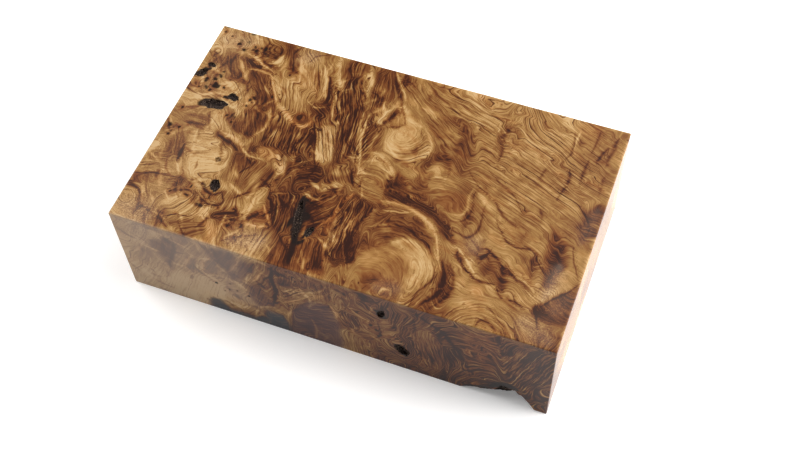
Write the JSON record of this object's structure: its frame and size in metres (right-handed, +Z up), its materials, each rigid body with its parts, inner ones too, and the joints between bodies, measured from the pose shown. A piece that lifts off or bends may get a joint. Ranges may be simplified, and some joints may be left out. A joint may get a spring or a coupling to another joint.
{
  "type": "stabilized burl block",
  "caption": "Rectangular sawn block of resin-stabilised burl wood with swirling figure, open knots and a bark bite in a lower edge, a blank for handles or turning.",
  "frame": {"origin": "middle of the block's underside, on the surface that it rests on", "axes": "+X along the block towards the end with the bark bite, +Y from the face with the bark bite to the opposite long face, +Z up through the figured top face"},
  "size_m": [0.145, 0.0844, 0.0407],
  "materials": {
    "stabilised_burl": "sanded, resin-stabilised, satin"
  },
  "bodies": {
    "root": {"burl_block": "stabilised_burl"}
  },
  "joints": []
}
